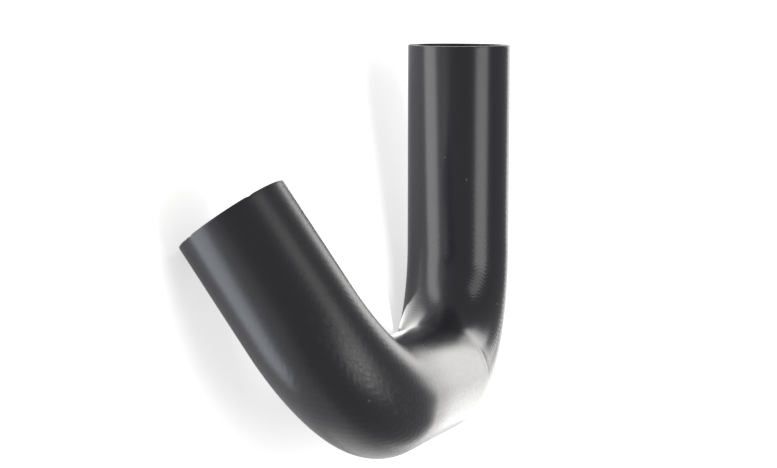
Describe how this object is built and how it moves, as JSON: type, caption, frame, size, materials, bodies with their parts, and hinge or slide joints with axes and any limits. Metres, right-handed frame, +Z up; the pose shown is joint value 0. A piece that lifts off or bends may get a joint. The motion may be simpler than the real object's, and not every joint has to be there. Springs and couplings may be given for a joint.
{
  "type": "moulded coolant hose",
  "caption": "Moulded black rubber coolant hose with bends in different planes, a long leg, a short leg and open square-cut ends.",
  "frame": {"origin": "middle of the bounding box's base, on the surface that the hose lies on", "axes": "+Z up; the long leg's cut end looks to -X and a little up; +Y from the short leg to the long leg"},
  "size_m": [0.1676, 0.2364, 0.0724],
  "materials": {
    "rubber": "satin moulded rubber with faint knit ripples"
  },
  "bodies": {
    "root": {"hose": "rubber"}
  },
  "joints": []
}
